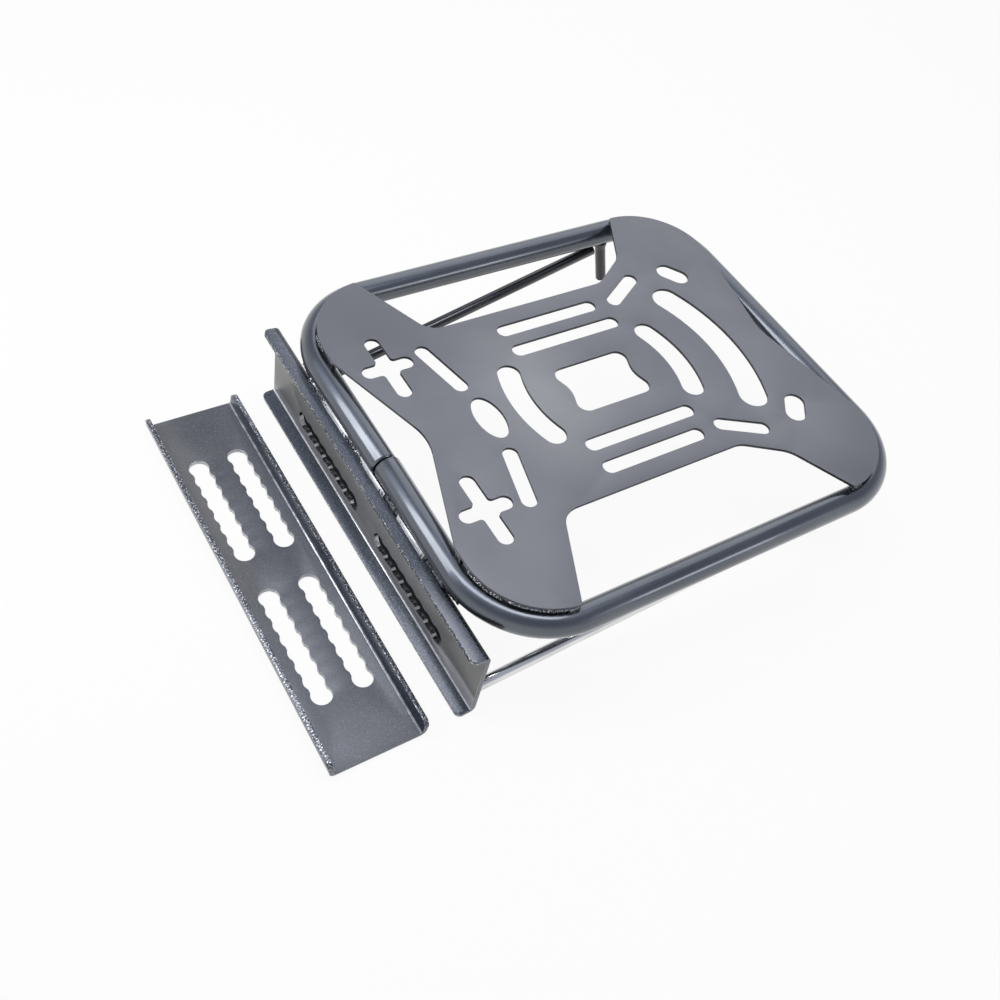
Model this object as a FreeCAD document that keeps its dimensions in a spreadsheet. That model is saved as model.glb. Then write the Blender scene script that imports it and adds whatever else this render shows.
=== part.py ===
import FreeCAD, Part
import math
import os
import re
import Sketcher
from FreeCAD import Placement, Rotation, Vector

# Rear carrier rack of a motorcycle: a bent tube loop carrying a cut-out sheet plate,
# a folded bracket below its front run, two rod struts, a strap peg and a loose
# folded clamp plate. X points to the rear, Y to the left, Z up.
# The origin is the middle of the loop in plan, at the top face of the plate.

os.makedirs("parts", exist_ok=True)
doc = FreeCAD.newDocument("rear_rack")

# Driving dimensions, millimetres and degrees
sizes = {
    # tube loop, measured on the centre line of the tube
    "tube_od": 17.2,
    "tube_wall": 1.8,
    "loop_half_length": 159.2,
    "loop_half_width": 141.5,
    "loop_bend": 55.0,
    "seam_gap": 0.9,
    "seam_chamfer": 1.0,
    # plate outline: its rims lie inside the outer faces of the loop
    "plate_thickness": 2.0,
    "weld_gap": 3.3,
    "front_inset": 11.3,
    "rear_inset": 13.2,
    "side_inset": 9.9,
    "lobe_round": 50.5,
    "front_tip_flat": 12.5,
    "rear_tip_flat": 4.7,
    "front_vee_depth": 26.1,
    "rear_vee_depth": 16.8,
    "vee_round": 36.0,
    "front_lobe_length": 46.1,
    "rear_lobe_length": 51.5,
    "front_flank": 25.8,
    "rear_flank": 49.3,
    "waist_half_width": 81.3,
    "knee_ahead": 20.9,
    "knee_half_width": 99.6,
    "root_round": 15.0,
    "knee_round": 22.0,
    "tip_round": 2.0,
    "bay_margin": 10.0,
    # plate cut-outs; a setback is measured from the front or rear edge
    "slot_width": 10.2,
    "inner_slot_y": 44.1,
    "outer_slot_y": 63.5,
    "side_slot_front": 37.7,
    "inner_slot_rear": 37.8,
    "outer_slot_rear": 31.6,
    "front_slot_in_setback": 65.7,
    "front_slot_in_y": 30.7,
    "front_slot_out_setback": 57.4,
    "front_slot_out_y": 65.6,
    "rear_slot_in_x": 52.8,
    "rear_slot_in_y": 62.4,
    "rear_slot_out_x": 77.2,
    "rear_slot_out_y": 76.5,
    "eye_slot_in_setback": 39.7,
    "eye_slot_in_y": 66.5,
    "eye_slot_out_setback": 45.7,
    "eye_slot_out_y": 74.6,
    "eye_slot_width": 14.2,
    "cross_setback": 30.2,
    "cross_y": 61.3,
    "cross_half_long": 12.7,
    "cross_half_wide": 21.7,
    "cross_round": 2.5,
    "oval_x": 87.2,
    "oval_half_long": 9.3,
    "oval_half_wide": 17.6,
    "arc_width": 15.7,
    "arc_radius": 80.8,
    "arc_span": 20.0,
    "front_arc_centre": 19.9,
    "rear_arc_centre": 20.2,
    "wide_arc_width": 20.8,
    "wide_arc_radius": 125.9,
    "wide_arc_setback": 179.0,
    "wide_arc_span": 23.4,
    "window_half_long": 31.1,
    "window_half_wide": 19.8,
    "window_waist": 24.4,
    "window_round": 7.0,
    "window_waist_round": 20.0,
    # weld tacks between plate and tube
    "tack_width": 3.0,
    "tack_length": 7.0,
    "tack_inset": 1.2,
    "tack_from_tip": 4.2,
    # folded channels of the bracket and the clamp plate
    "channel_length": 276.6,
    "channel_width": 60.5,
    "channel_thickness": 3.0,
    "flange_depth": 12.0,
    "flange_lean": 7.0,
    "bend_inside": 1.5,
    "lip_round": 4.0,
    "scallop_od": 13.0,
    "scallop_pitch": 10.45,
    "scallop_slot_width": 10.6,
    "scallop_first": 18.4,
    "scallop_row": 13.2,
    # the bracket is tucked in below the front run and lapped over its lowest point
    "bracket_tuck": 3.5,
    "bracket_lap": 1.25,
    "bead_od": 5.6,
    "bead_length": 32.0,
    "bead_pitch": 49.0,
    "bead_out": 1.0,
    "bead_up": 0.15,
    "clamp_ahead": 63.1,
    # struts and strap peg, placed from the bracket and the side runs
    "rod_od": 8.0,
    "strut_foot_in": 11.3,
    "strut_foot_low": 25.9,
    "strut_from_bend": 11.2,
    "strut_in": 2.9,
    "strut_hang": 3.3,
    "peg_from_bend": 4.0,
    "peg_in": 2.0,
    "peg_root": 1.0,
    "peg_length": 41.6,
    "peg_lean": 17.7,
    "peg_tip_chamfer": 2.0,
    "peg_weld_length": 5.0,
    "peg_weld_rise": 1.3,
}
sheet = doc.addObject("Spreadsheet::Sheet", "Sizes")
for row, (alias, value) in enumerate(sizes.items(), 1):
    sheet.set(f"A{row}", alias)
    sheet.set(f"B{row}", str(value))
    sheet.setAlias(f"B{row}", alias)
doc.recompute()

# Numbers of scallops in one slot, weld beads on the bracket and flats in the tube's bore
scallop_count = 8
bead_count = 4
bore_flats = 12

# Height of the tube's centre line, used in many places
tube_drop = "(plate_thickness + weld_gap + tube_od / 2)"
tube_bottom = "(plate_thickness + weld_gap + tube_od)"
# Rims of the plate, and the tips of its lobes
plate_front = "(loop_half_length + tube_od / 2 - front_inset)"
plate_rear = "(loop_half_length + tube_od / 2 - rear_inset)"
plate_side = "(loop_half_width + tube_od / 2 - side_inset)"
front_tip_y = f"({plate_side} - lobe_round - front_tip_flat)"
rear_tip_y = f"({plate_side} - lobe_round - rear_tip_flat)"
side_tip_front = f"({plate_front} - front_lobe_length)"
side_tip_rear = f"({plate_rear} - rear_lobe_length)"
# Back face and middle of the bracket
bracket_back = "(loop_half_length + tube_od / 2 - bracket_tuck)"
bracket_drop = f"({tube_bottom} + channel_width / 2 - bracket_lap)"
scallop_reach = f"({scallop_count - 1} * scallop_pitch)"
# Rise of a leaning flange's tip beyond the web's edge
tip_out = "(flange_depth * tan(flange_lean * 1deg))"


def bound(text):
    """Expression text with every size's name pointing at the sheet."""
    return re.sub(r"[a-z]+(?:_[a-z]+)+", lambda m: "Sizes." + m.group(), text)


def num(text):
    """Value of an expression, for a first position."""
    value = sheet.evalExpression(bound(text))
    return float(getattr(value, "Value", value))


def new_body(label):
    body = doc.addObject("PartDesign::Body", label)
    body.Label = label
    return body


def new_sketch(body, name, role, lift=None):
    """Sketch on one of the body's own planes, lifted along its normal."""
    sketch = body.newObject("Sketcher::SketchObject", name)
    plane = next(f for f in body.Origin.OriginFeatures if f.Role == role)
    sketch.AttachmentSupport = [(plane, "")]
    sketch.MapMode = "FlatFace"
    if lift:
        sketch.setExpression("AttachmentOffset.Base.z", bound(lift))
        doc.recompute()
    return sketch


def tie(sketch, kind, text, *where):
    """Dimension of the sketch bound to an expression."""
    index = sketch.addConstraint(Sketcher.Constraint(kind, *where, num(text)))
    sketch.setExpression(f"Constraints[{index}]", bound(text))


def place_point(sketch, geo, pos, x, y):
    """Fix one point of the sketch at bound distances from the axes."""
    for kind, axis, text in (("DistanceX", -2, x), ("DistanceY", -1, y)):
        if text == "0":
            sketch.addConstraint(Sketcher.Constraint("PointOnObject", geo, pos, axis))
        elif num(text) < 0:
            tie(sketch, kind, f"-({text})", geo, pos, -1, 1)
        else:
            tie(sketch, kind, text, -1, 1, geo, pos)


def polygon(sketch, points):
    """Closed outline through points given as expression pairs."""
    first = sketch.GeometryCount
    spots = [Vector(num(x), num(y), 0) for x, y in points]
    count = len(spots)
    for i in range(count):
        sketch.addGeometry(Part.LineSegment(spots[i], spots[(i + 1) % count]), False)
    for i in range(count):
        sketch.addConstraint(
            Sketcher.Constraint("Coincident", first + i, 2, first + (i + 1) % count, 1))
    for i, (x, y) in enumerate(points):
        place_point(sketch, first + i, 1, x, y)


def circle(sketch, x, y, diameter):
    geo = sketch.addGeometry(
        Part.Circle(Vector(num(x), num(y), 0), Vector(0, 0, 1), num(diameter) / 2), False)
    tie(sketch, "Diameter", diameter, geo)
    place_point(sketch, geo, 3, x, y)


def add_arc(sketch, centre, radius, start, end):
    ring = Part.Circle(centre, Vector(0, 0, 1), radius)
    return sketch.addGeometry(Part.ArcOfCircle(ring, start, end), False)


def slot(sketch, x1, y1, x2, y2, width):
    """Round-ended slot between two centres."""
    a, b = Vector(num(x1), num(y1), 0), Vector(num(x2), num(y2), 0)
    turn = math.atan2(b.y - a.y, b.x - a.x)
    half = num(width) / 2
    side = Vector(-math.sin(turn), math.cos(turn), 0) * half
    left = sketch.addGeometry(Part.LineSegment(a + side, b + side), False)
    far = add_arc(sketch, b, half, turn - math.pi / 2, turn + math.pi / 2)
    right = sketch.addGeometry(Part.LineSegment(b - side, a - side), False)
    near = add_arc(sketch, a, half, turn + math.pi / 2, turn + 3 * math.pi / 2)
    for one, two in (((left, 2), (far, 2)), ((far, 1), (right, 1)),
                     ((right, 2), (near, 2)), ((near, 1), (left, 1))):
        sketch.addConstraint(Sketcher.Constraint("Tangent", *one, *two))
    sketch.addConstraint(Sketcher.Constraint("Equal", near, far))
    tie(sketch, "Diameter", width, near)
    place_point(sketch, near, 3, x1, y1)
    place_point(sketch, far, 3, x2, y2)


def curved_slot(sketch, centre, radius, span, width, ahead):
    """Slot along an arc about a point of the X axis; ahead is 1 or -1 along X."""
    middle = Vector(num(centre), 0, 0)
    turn = 0 if ahead > 0 else math.pi
    reach = math.radians(num(span))
    half = num(width) / 2
    rows = [add_arc(sketch, middle, num(radius) + s * half, turn - reach, turn + reach)
            for s in (1, -1)]
    caps = []
    for s in (1, -1):
        angle = turn + s * reach
        spot = middle + Vector(math.cos(angle), math.sin(angle), 0) * num(radius)
        begin = angle if s > 0 else angle + math.pi
        caps.append(add_arc(sketch, spot, half, begin, begin + math.pi))
    outer, inner = rows
    for one, two in (((outer, 2), (caps[0], 1)), ((caps[0], 2), (inner, 2)),
                     ((inner, 1), (caps[1], 1)), ((caps[1], 2), (outer, 1))):
        sketch.addConstraint(Sketcher.Constraint("Tangent", *one, *two))
    sketch.addConstraint(Sketcher.Constraint("Coincident", outer, 3, inner, 3))
    place_point(sketch, outer, 3, centre, "0")
    tie(sketch, "Radius", f"{radius} + {width} / 2", outer)
    tie(sketch, "Radius", f"{radius} - {width} / 2", inner)
    for cap, s in zip(caps, (1, -1)):
        rise = f"{radius} * sin({span} * 1deg)"
        ends = (-1, 1, cap, 3) if s * ahead > 0 else (cap, 3, -1, 1)
        tie(sketch, "DistanceY", rise, *ends)


def feature(body, kind, name, **settings):
    """Feature added at the body's tip; text values with a size in them are bound."""
    made = body.newObject(kind, name)
    for key, value in settings.items():
        if isinstance(value, str) and "_" in value:
            made.setExpression(key, bound(value))
        else:
            setattr(made, key, value)
    doc.recompute()
    return made


def cut(body, name, sketch, **settings):
    """Pocket through the body, checked to remove material."""
    before = body.Shape.Volume
    made = feature(body, "PartDesign::Pocket", name, Profile=sketch, Type="ThroughAll",
                   **settings)
    if body.Shape.Volume > before - 1:
        raise RuntimeError(f"{name} removes nothing")
    return made


def round_edges(body, name, spots, radius, plane="XY"):
    """Fillet the straight edges that stand at the given spots of a plane."""
    doc.recompute()
    keep = {"XY": (0, 1), "XZ": (0, 2)}[plane]
    wanted = [(num(x), num(y)) for x, y in spots]
    found = []
    for i, edge in enumerate(body.Tip.Shape.Edges, 1):
        ends = [[v.Point[k] for k in keep] for v in edge.Vertexes]
        if len(ends) == 2 and any(
                max(math.dist(end, spot) for end in ends) < 0.5 for spot in wanted):
            found.append(f"Edge{i}")
    if len(found) != len(wanted):
        raise RuntimeError(f"{name}: {len(found)} edges for {len(wanted)} spots")
    feature(body, "PartDesign::Fillet", name, Base=(body.Tip, found), Radius=radius)


# Tube loop: one round tube bent to a rounded square, its ends meeting at the front
length, width, bend = num("loop_half_length"), num("loop_half_width"), num("loop_bend")
gap = num("seam_gap") / 2
corners = [(-1, -1), (1, -1), (1, 1), (-1, 1)]


def loop_path(body, name):
    """Sketch of the tube's centre line: five straight runs joined by four bends."""
    path = new_sketch(body, name, "XY_Plane", f"-{tube_drop}")
    stops = [Vector(-length, -gap, 0)]
    arcs = []
    for k, (sx, sy) in enumerate(corners):
        centre = Vector(sx * (length - bend), sy * (width - bend), 0)
        turn = math.pi + k * math.pi / 2
        arcs.append((centre, bend, turn, turn + math.pi / 2))
        stops += [centre + Vector(math.cos(a), math.sin(a), 0) * bend
                  for a in (turn, turn + math.pi / 2)]
    stops.append(Vector(-length, gap, 0))
    runs = [path.addGeometry(Part.LineSegment(stops[2 * k], stops[2 * k + 1]), False)
            for k in range(len(corners) + 1)]
    bends = [add_arc(path, *arc) for arc in arcs]
    for k, (arc, (sx, sy)) in enumerate(zip(bends, corners)):
        path.addConstraint(Sketcher.Constraint("Tangent", runs[k], 2, arc, 1))
        path.addConstraint(Sketcher.Constraint("Tangent", arc, 2, runs[k + 1], 1))
        place_point(path, arc, 3, f"{sx} * (loop_half_length - loop_bend)",
                    f"{sy} * (loop_half_width - loop_bend)")
        if k:
            path.addConstraint(Sketcher.Constraint("Equal", bends[0], arc))
    tie(path, "Radius", "loop_bend", bends[0])
    tie(path, "DistanceY", "seam_gap / 2", runs[0], 1, -1, 1)
    tie(path, "DistanceY", "seam_gap / 2", -1, 1, runs[-1], 2)
    return path


def tube_section(body, name):
    ring = new_sketch(body, name, "XZ_Plane", "seam_gap / 2")
    circle(ring, "-loop_half_length", f"-{tube_drop}", "tube_od")
    doc.recompute()
    return ring


# The bore can't be seen, so it is drawn with flats, at the area of the round one
loop = new_body("tube_loop")
tube_ring = tube_section(loop, "TubeSection")
bore_reach = f"((tube_od / 2 - tube_wall) * sqrt(2 * pi / {bore_flats} / sin(360deg / {bore_flats})))"
bore_angles = [f"({k} * 360deg / {bore_flats})" for k in range(bore_flats)]
polygon(tube_ring, [(f"{bore_reach} * cos{a} - loop_half_length",
                     f"{bore_reach} * sin{a} - {tube_drop}") for a in bore_angles])
pipe = feature(loop, "PartDesign::AdditivePipe", "BentTube",
               Spine=loop_path(loop, "LoopPath"), Profile=tube_ring)
straight = 4 * (length + width - 2 * bend) - 2 * gap
section = math.pi * num("tube_wall") * (num("tube_od") - num("tube_wall"))
wanted_volume = section * (straight + 2 * math.pi * bend)
if abs(pipe.Shape.Volume / wanted_volume - 1) > 0.001:
    raise RuntimeError("the tube's volume is off")
rims = []
for i, edge in enumerate(loop.Tip.Shape.Edges, 1):
    spots = edge.discretize(5)
    if all(abs(abs(p.y) - gap) < 0.01
           and abs(math.hypot(p.x + length, p.z + num(tube_drop)) - num("tube_od") / 2) < 0.05
           for p in spots):
        rims.append(f"Edge{i}")
if len(rims) < 2:
    raise RuntimeError("the seam's rims are not found")
feature(loop, "PartDesign::Chamfer", "SeamRims", Base=(loop.Tip, rims), Size="seam_chamfer")

# Top plate: flat sheet with four lobes over the loop's corners
plate = new_body("top_plate")


def both(points):
    """The points and their mirror images across the centre plane."""
    return points + mirrored(points)


def mirrored(points):
    return [(x, f"-({y})") for x, y in points]


def rim_y(x, end):
    """Half width of the rounded blank at a distance x along the plate."""
    return (f"({plate_side} - lobe_round"
            f" + sqrt(lobe_round^2 - max(0; {x} - ({end} - lobe_round))^2))")


blank = new_sketch(plate, "PlateBlank", "XY_Plane")
blank_corners = [((f"-{plate_front}", plate_rear)[sx > 0], f"{sy} * {plate_side}")
                 for sx, sy in corners]
polygon(blank, blank_corners)
feature(plate, "PartDesign::Pad", "Sheet", Profile=blank, Length="plate_thickness",
        Reversed=True)
round_edges(plate, "LobeRounds", blank_corners, "lobe_round")

# Openings of the outline: a waist at each side and a shallow vee at both ends
side_bay = [
    (f"-{side_tip_front}", f"{plate_side} + bay_margin"),
    (f"-{side_tip_front}", rim_y(side_tip_front, plate_front)),
    (f"front_flank - {side_tip_front}", "waist_half_width"),
    (f"{side_tip_rear} - rear_flank", "waist_half_width"),
    (f"{side_tip_rear} - knee_ahead", "knee_half_width"),
    (side_tip_rear, rim_y(side_tip_rear, plate_rear)),
    (side_tip_rear, f"{plate_side} + bay_margin"),
]
front_bay = [
    (f"front_vee_depth - {plate_front}", "0"),
    (f"-{plate_front}", front_tip_y),
    (f"-{plate_front} - bay_margin", front_tip_y),
]
rear_bay = [
    (f"{plate_rear} - rear_vee_depth", "0"),
    (plate_rear, rear_tip_y),
    (f"{plate_rear} + bay_margin", rear_tip_y),
]
bays = {
    "LeftBay": side_bay,
    "RightBay": mirrored(side_bay),
    "FrontBay": front_bay + mirrored(front_bay[:0:-1]),
    "RearBay": rear_bay + mirrored(rear_bay[:0:-1]),
}
for name, points in bays.items():
    drawn = new_sketch(plate, name + "Sketch", "XY_Plane")
    polygon(drawn, points)
    cut(plate, name, drawn)
round_edges(plate, "WaistRounds", both(side_bay[2:4]), "root_round")
round_edges(plate, "KneeRounds", both(side_bay[4:5]), "knee_round")
round_edges(plate, "VeeRounds", [front_bay[0], rear_bay[0]], "vee_round")
tips = [side_bay[1], side_bay[5], front_bay[1], rear_bay[1]]
round_edges(plate, "TipRounds", both(tips), "tip_round")

# Straight and slanted strap slots, in pairs
cross_x = f"(cross_setback - {plate_front})"
pairs = {
    "InnerSideSlots": ("-side_slot_front", "inner_slot_y",
                       "inner_slot_rear", "inner_slot_y", "slot_width"),
    "OuterSideSlots": ("-side_slot_front", "outer_slot_y",
                       "outer_slot_rear", "outer_slot_y", "slot_width"),
    "FrontSlantSlots": (f"front_slot_in_setback - {plate_front}", "front_slot_in_y",
                        f"front_slot_out_setback - {plate_front}", "front_slot_out_y",
                        "slot_width"),
    "RearSlantSlots": ("rear_slot_in_x", "rear_slot_in_y",
                       "rear_slot_out_x", "rear_slot_out_y", "slot_width"),
    "EyeSlots": (f"{plate_rear} - eye_slot_in_setback", "eye_slot_in_y",
                 f"{plate_rear} - eye_slot_out_setback", "eye_slot_out_y", "eye_slot_width"),
    "CrossLong": (f"{cross_x} - cross_half_long", "cross_y",
                  f"{cross_x} + cross_half_long", "cross_y", "slot_width"),
    "CrossWide": (cross_x, "cross_y - cross_half_wide",
                  cross_x, "cross_y + cross_half_wide", "slot_width"),
}
for name, (x1, y1, x2, y2, wide) in pairs.items():
    drawn = new_sketch(plate, name + "Sketch", "XY_Plane")
    slot(drawn, x1, y1, x2, y2, wide)
    slot(drawn, x1, f"-({y1})", x2, f"-({y2})", wide)
    cut(plate, name, drawn)
inner_corners = [(f"{cross_x} + {sx} * slot_width / 2", f"cross_y + {sy} * slot_width / 2")
                 for sx in (1, -1) for sy in (1, -1)]
round_edges(plate, "CrossRounds", both(inner_corners), "cross_round")

# Curved slots across the plate
arcs = {
    "FrontArc": ("front_arc_centre", "arc_radius", "arc_span", "arc_width", -1),
    "RearArc": ("-rear_arc_centre", "arc_radius", "arc_span", "arc_width", 1),
    "WideRearArc": (f"{plate_rear} - wide_arc_setback", "wide_arc_radius", "wide_arc_span",
                    "wide_arc_width", 1),
}
for name, values in arcs.items():
    drawn = new_sketch(plate, name + "Sketch", "XY_Plane")
    curved_slot(drawn, *values)
    cut(plate, name, drawn)

# Oval eye at the front, on the centre line
oval_sketch = new_sketch(plate, "OvalSketch", "XY_Plane")
spot = Vector(-num("oval_x"), 0, 0)
oval = oval_sketch.addGeometry(Part.Ellipse(
    spot + Vector(0, num("oval_half_wide"), 0), spot + Vector(num("oval_half_long"), 0, 0),
    spot), False)
oval_sketch.exposeInternalGeometry(oval)
place_point(oval_sketch, oval, 3, "-oval_x", "0")
tie(oval_sketch, "Distance", "2 * oval_half_wide", oval + 1)
tie(oval_sketch, "Distance", "2 * oval_half_long", oval + 2)
oval_sketch.addConstraint(Sketcher.Constraint("Vertical", oval + 1))
cut(plate, "Oval", oval_sketch)

# Window in the middle, drawn in at its front and rear edges
window_sketch = new_sketch(plate, "WindowSketch", "XY_Plane")
window = [("-window_waist", "0"), ("-window_half_long", "window_half_wide"),
          ("window_half_long", "window_half_wide"), ("window_waist", "0"),
          ("window_half_long", "-window_half_wide"),
          ("-window_half_long", "-window_half_wide")]
polygon(window_sketch, window)
cut(plate, "Window", window_sketch)
round_edges(plate, "WindowRounds", [window[i] for i in (1, 2, 4, 5)], "window_round")
round_edges(plate, "WindowWaist", [window[0], window[3]], "window_waist_round")

# Short welds that carry the plate on the tube, two along the rim of each lobe
tack_sketch = new_sketch(plate, "TackSketch", "XY_Plane", "-plate_thickness")
side_tacks = [(f"-({side_tip_front} + tack_from_tip)", f"{plate_side} - tack_inset"),
              (f"{side_tip_rear} + tack_from_tip", f"{plate_side} - tack_inset")]
end_tacks = [(f"tack_inset - {plate_front}", f"{front_tip_y} + tack_from_tip"),
             (f"{plate_rear} - tack_inset", f"{rear_tip_y} + tack_from_tip")]
for spots, long, wide in ((side_tacks, "tack_length", "tack_width"),
                          (end_tacks, "tack_width", "tack_length")):
    for x, y in both(spots):
        polygon(tack_sketch, [(f"{x} + {sx} * {long} / 2", f"{y} + {sy} * {wide} / 2")
                              for sx, sy in corners])
feature(plate, "PartDesign::Pad", "Tacks", Profile=tack_sketch,
        Length="weld_gap + tube_od / 2", Reversed=True)
whole = plate.Shape.Volume
feature(plate, "PartDesign::SubtractivePipe", "TackSeats",
        Spine=loop_path(plate, "SeatPath"),
        Profile=tube_section(plate, "SeatSection"))
if plate.Shape.Volume > whole - 1:
    raise RuntimeError("the tacks have no seats")


def channel(label, rows):
    """Folded channel: web flat on the local XY plane, flanges up, scalloped slots."""
    body = new_body(label)
    half = "channel_width / 2"
    skin = "channel_thickness"
    lean = "flange_lean * 1deg"
    # thickness of the leaning flange measured level
    level = f"{skin} / cos({lean})"
    right = [
        (half, "0"),
        (f"{half} + {tip_out}", "flange_depth"),
        (f"{half} + {tip_out} - {skin} * cos({lean})", f"flange_depth + {skin} * sin({lean})"),
        (f"{half} + {skin} * tan({lean}) - {level}", skin),
    ]
    left = [(f"-({x})", z) for x, z in right[::-1]]
    profile = new_sketch(body, label + "_profile", "XZ_Plane")
    polygon(profile, right + left)
    feature(body, "PartDesign::Pad", label + "_fold", Profile=profile,
            Length="channel_length", Midplane=True)
    round_edges(body, label + "_outer_bends", [right[0], left[3]],
                "bend_inside + channel_thickness", "XZ")
    round_edges(body, label + "_inner_bends", [right[3], left[0]], "bend_inside", "XZ")
    # rounded corners of both lips
    lips = []
    tip = num(half + " + " + tip_out)
    for i, edge in enumerate(body.Tip.Shape.Edges, 1):
        box = edge.BoundBox
        if (box.YLength < 0.01 and abs(box.XLength - num(f"{skin} * cos({lean})")) < 0.01
                and max(abs(box.XMin), abs(box.XMax)) > tip - 0.01 and box.ZMin > num(skin)):
            lips.append(f"Edge{i}")
    if len(lips) != 4:
        raise RuntimeError(f"{label}: {len(lips)} lip corners")
    feature(body, "PartDesign::Fillet", label + "_lip_rounds", Base=(body.Tip, lips),
            Radius="lip_round")
    # scalloped slots: a plain slot joined with a row of round holes
    for row in rows:
        for side in (1, -1):
            tag = f"{label}_slot_{row > 0:d}{side > 0:d}"
            across = f"{row} * scallop_row"
            first, last = "scallop_first", f"scallop_first + {scallop_reach}"
            hole = new_sketch(body, tag + "_hole", "XY_Plane", skin)
            circle(hole, across, f"{side} * scallop_first", "scallop_od")
            drilled = cut(body, tag + "_first", hole)
            holes = body.newObject("PartDesign::LinearPattern", tag + "_row")
            holes.Originals = [drilled]
            holes.Direction = (hole, ["V_Axis"])
            holes.Reversed = side < 0
            holes.setExpression("Length", bound(scallop_reach))
            holes.Occurrences = scallop_count
            body.Tip = holes
            doc.recompute()
            plain = new_sketch(body, tag + "_plain", "XY_Plane", skin)
            slot(plain, across, f"{side} * ({first})", across, f"{side} * ({last})",
                 "scallop_slot_width")
            cut(body, tag + "_middle", plain)
    return body


# Front bracket: channel stood on edge under the front run, open to the front
bracket = channel("front_bracket", (-1,))
bead = new_sketch(bracket, "BeadSection", "XZ_Plane")
circle(bead, "channel_width / 2 + bead_up", "bead_out", "bead_od")
first_bead = feature(bracket, "PartDesign::Pad", "WeldBead", Profile=bead,
                     Length="bead_length", Midplane=True)
for name, turned in (("BeadsRight", False), ("BeadsLeft", True)):
    beads = bracket.newObject("PartDesign::LinearPattern", name)
    beads.Originals = [first_bead]
    beads.Direction = (bead, ["N_Axis"])
    beads.Reversed = turned
    beads.setExpression("Length", bound("bead_pitch"))
    beads.Occurrences = bead_count // 2
    bracket.Tip = beads
    doc.recompute()
tube_seat = new_sketch(bracket, "TubeSeat", "XZ_Plane")
circle(tube_seat, f"{bracket_drop} - {tube_drop}", f"loop_half_length - {bracket_back}",
       "tube_od")
cut(bracket, "TubeSeatCut", tube_seat, Midplane=True)
bracket.setExpression("Placement.Base.x", bound(f"-{bracket_back}"))
bracket.setExpression("Placement.Base.z", bound(f"-{bracket_drop}"))
bracket.Placement = Placement(
    Vector(-num(bracket_back), 0, -num(bracket_drop)), Rotation(Vector(0, 1, 0), -90))

# Clamp plate: the loose mate of the bracket, lying level in front of it
clamp = channel("clamp_plate", (1, -1))
floor_drop = f"{bracket_drop} + channel_width / 2 + {tip_out}"
clamp.setExpression("Placement.Base.x", bound(f"-({bracket_back} + clamp_ahead)"))
clamp.setExpression("Placement.Base.z", bound(f"-({floor_drop})"))


def rod(label, start, end):
    """Round rod between two points, as a cylinder bound in diameter."""
    bar = doc.addObject("Part::Cylinder", label)
    bar.setExpression("Radius", bound("rod_od / 2"))
    along = end - start
    bar.Height = along.Length
    bar.Placement = Placement(start, Rotation(Vector(0, 0, 1), along))
    return bar


def side_run(label, side):
    """A side run of the loop drawn on as a solid bar, used to seat rods below it."""
    bar = doc.addObject("Part::Cylinder", label)
    bar.setExpression("Radius", bound("tube_od / 2"))
    bar.setExpression("Height", bound("2 * loop_half_length"))
    bar.Placement = Placement(
        Vector(-length, side * width, -num(tube_drop)),
        Rotation(Vector(0, 0, 1), Vector(1, 0, 0)))
    return bar


def minus(label, base, tool):
    piece = doc.addObject("Part::Cut", label)
    piece.Base, piece.Tool = base, tool
    return piece


# Struts: rods from the bracket's back near the floor up to the side runs
pieces = {"tube_loop": loop, "top_plate": plate, "front_bracket": bracket,
          "clamp_plate": clamp}
for word, side in (("left", 1), ("right", -1)):
    rear = Vector(length - bend - num("strut_from_bend"), side * (width - num("strut_in")),
                  -num(f"{tube_bottom} + strut_hang"))
    foot = Vector(-num(bracket_back), side * num("channel_length / 2 - strut_foot_in"),
                  -num(f"{bracket_drop} + strut_foot_low"))
    # the bar starts inside the bracket's sheet and is trimmed flush with its back
    inward = (foot - rear).normalize() * num("channel_thickness")
    bar = rod(f"strut_bar_{word}", foot + inward, rear)
    trim = doc.addObject("Part::Box", f"strut_trim_{word}")
    for key in ("Length", "Width", "Height"):
        trim.setExpression(key, bound("3 * rod_od"))
    trim.Placement = Placement(
        foot - Vector(3, 1.5, 1.5) * num("rod_od"), Rotation())
    flush = minus(f"strut_flush_{word}", bar, trim)
    pieces[f"strut_{word}"] = minus(f"strut_{word}", flush, side_run(f"run_{word}", side))

# Strap peg: short rod leaning to the rear below the left side run, in a collar of weld
lean = math.radians(num("peg_lean"))
top = Vector(length - bend - num("peg_from_bend"), width - num("peg_in"),
             -num(f"{tube_bottom} - peg_root"))
way = Vector(math.sin(lean), 0, -math.cos(lean))
peg_bar = rod("peg_bar", top, top + way * num("peg_length"))
doc.recompute()
peg_tip = doc.addObject("Part::Chamfer", "peg_tip")
peg_tip.Base = peg_bar
lowest = min(range(len(peg_bar.Shape.Edges)),
             key=lambda i: peg_bar.Shape.Edges[i].BoundBox.ZMin
             + 1000 * (len(peg_bar.Shape.Edges[i].Vertexes) > 1))
peg_tip.Edges = [(lowest + 1, num("peg_tip_chamfer"), num("peg_tip_chamfer"))]
collar = doc.addObject("Part::Cone", "peg_weld")
collar.setExpression("Radius1", bound("rod_od / 2 + 1.6 * peg_weld_rise"))
collar.setExpression("Radius2", bound("rod_od / 2"))
collar.setExpression("Height", bound("1.6 * peg_weld_length"))
collar.Placement = Placement(top - way * 0.6 * num("peg_weld_length"),
                             Rotation(Vector(0, 0, 1), way))
welded = doc.addObject("Part::Fuse", "peg_welded")
welded.Base, welded.Tool = peg_tip, collar
pieces["strap_peg"] = minus("strap_peg", welded, side_run("run_peg", 1))
doc.recompute()

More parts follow.
